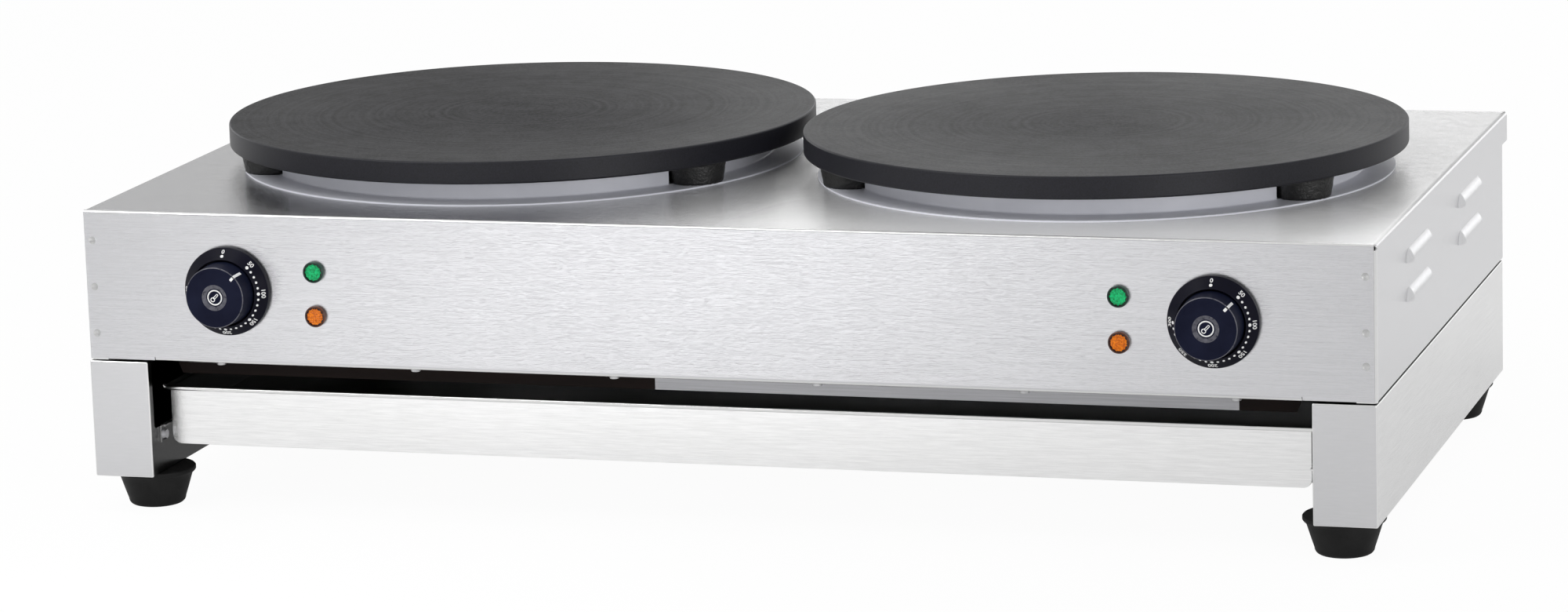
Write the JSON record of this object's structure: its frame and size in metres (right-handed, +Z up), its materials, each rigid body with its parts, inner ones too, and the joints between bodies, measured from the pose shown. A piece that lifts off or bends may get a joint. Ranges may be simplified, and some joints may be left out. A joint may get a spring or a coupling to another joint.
{
  "type": "electric crepe maker",
  "caption": "Countertop electric crepe maker with twin round cast iron griddle plates, front dials and lamps, and a sliding tray between its side rails.",
  "frame": {"origin": "on the table, under the middle of the whole outline", "axes": "+X to the right seen from the front, +Y from front to back, +Z up"},
  "size_m": [0.868, 0.51, 0.235],
  "materials": {
    "brushed_sheet": "stainless sheet, brushed along its length",
    "drawer_sheet": "stainless sheet, bright fine brushing",
    "plain_sheet": "stainless sheet, mill finish",
    "foot_rubber": "moulded rubber, satin",
    "cast_iron": "cast iron, fine turned and blackened",
    "skirt_sheet": "bright annealed stainless sheet",
    "ceramic_fibre": "pressed ceramic fibre",
    "element_sheath": "heat-darkened tube",
    "copper_tube": "drawn copper",
    "dark_plastic": "moulded nylon",
    "pale_plastic": "moulded ceramic-filled plastic",
    "dial_print": "black plate with white printed scale",
    "knob_plastic": "black moulded phenolic, white pointer",
    "green_lens": "clear green lens",
    "amber_lens": "clear amber lens",
    "zinc_steel": "zinc plated",
    "earth_brass": "turned brass",
    "wire_sleeve": "silicone sleeve"
  },
  "bodies": {
    "body": {"housing_wrapper": "brushed_sheet", "front_panel": "brushed_sheet", "rear_panel": "plain_sheet", "housing_floor": "plain_sheet", "side_rail_left": "brushed_sheet", "side_rail_right": "brushed_sheet", "front_cross_rail": "brushed_sheet", "base_rear_tie": "plain_sheet", "runner_left": "plain_sheet", "runner_right": "plain_sheet", "foot_front_left": "foot_rubber", "foot_front_right": "foot_rubber", "foot_rear_left": "foot_rubber", "foot_rear_right": "foot_rubber", "griddle_plate_left": "cast_iron", "griddle_plate_right": "cast_iron", "plate_skirt_left": "skirt_sheet", "plate_skirt_right": "skirt_sheet", "element_tray_left": "plain_sheet", "element_tray_right": "plain_sheet", "insulation_left": "ceramic_fibre", "insulation_right": "ceramic_fibre", "heating_element_left": "element_sheath", "heating_element_right": "element_sheath", "element_clamp_left": "plain_sheet", "element_clamp_right": "plain_sheet", "sensor_left": "copper_tube", "sensor_right": "copper_tube", "limit_switch_left": "dark_plastic", "limit_switch_right": "dark_plastic", "thermostat_left": "pale_plastic", "thermostat_right": "pale_plastic", "dial_plate_left": "dial_print", "dial_plate_right": "dial_print", "green_lens_left": "green_lens", "green_lens_right": "green_lens", "amber_lens_left": "amber_lens", "amber_lens_right": "amber_lens", "lamp_bodies": "pale_plastic", "terminal_block_left": "pale_plastic", "terminal_block_right": "pale_plastic", "cable_gland_left": "dark_plastic", "cable_gland_right": "dark_plastic", "gland_locknuts": "dark_plastic", "earth_terminal": "earth_brass", "wiring_left": "wire_sleeve", "wiring_right": "wire_sleeve", "plate_studs": "zinc_steel", "plate_nuts": "zinc_steel", "clamp_screws": "zinc_steel", "housing_screws": "zinc_steel", "rail_bolts": "zinc_steel", "foot_bolts": "zinc_steel", "runner_screws": "zinc_steel"},
    "drawer": {"drawer_tray": "drawer_sheet", "drawer_front": "drawer_sheet"},
    "left_knob": {"thermostat_shaft_left": "zinc_steel", "knob_left": "knob_plastic"},
    "right_knob": {"thermostat_shaft_right": "zinc_steel", "knob_right": "knob_plastic"}
  },
  "joints": [
    {"name": "drawer_slide", "type": "slide", "parent": "body", "child": "drawer", "axis": [0, -1, 0], "range_m": [0, 0.36]},
    {"name": "left_knob_turn", "type": "hinge", "parent": "body", "child": "left_knob", "pos_m": [-0.3285, -0.23, 0.1533], "axis": [0, 1, 0], "range_deg": [-45, 225]},
    {"name": "right_knob_turn", "type": "hinge", "parent": "body", "child": "right_knob", "pos_m": [0.3285, -0.23, 0.1533], "axis": [0, 1, 0], "range_deg": [-45, 225]}
  ]
}
